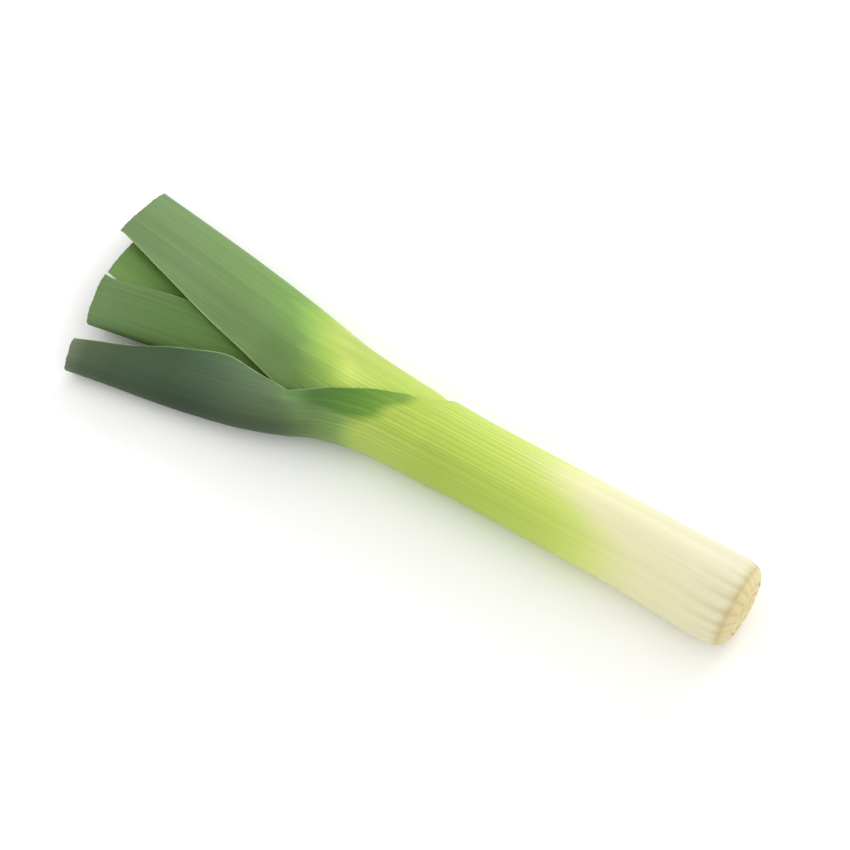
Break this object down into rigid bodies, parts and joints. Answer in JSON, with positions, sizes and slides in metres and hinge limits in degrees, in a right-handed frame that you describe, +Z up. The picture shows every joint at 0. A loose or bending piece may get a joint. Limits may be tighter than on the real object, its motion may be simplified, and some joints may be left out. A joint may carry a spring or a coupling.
{
  "type": "leek",
  "caption": "Trimmed leek lying on its side: a white shank of nested sheaths on a root plate, opening into a flat fan of folded green leaves cut straight.",
  "frame": {"origin": "middle of the leek's footprint, on the surface it lies on", "axes": "+X along the shank towards the cut root end, +Y across the leaf fan, +Z up from the surface it lies on"},
  "size_m": [0.3818, 0.1138, 0.0428],
  "materials": {
    "root_plate": "matt, cut stem, pale tan",
    "leaf_1": "satin, cream white at the root end through pale lime to blue-green with a waxy bloom",
    "leaf_2": "satin, lime at the mouth to grey-green, fine lengthwise veins",
    "leaf_3": "satin, grey-green, fine lengthwise veins",
    "leaf_4": "satin, saturated mid green, fine lengthwise veins"
  },
  "bodies": {
    "root": {"root_plate": "root_plate", "leaf_1": "leaf_1", "leaf_2": "leaf_2", "leaf_3": "leaf_3", "leaf_4": "leaf_4"}
  },
  "joints": []
}
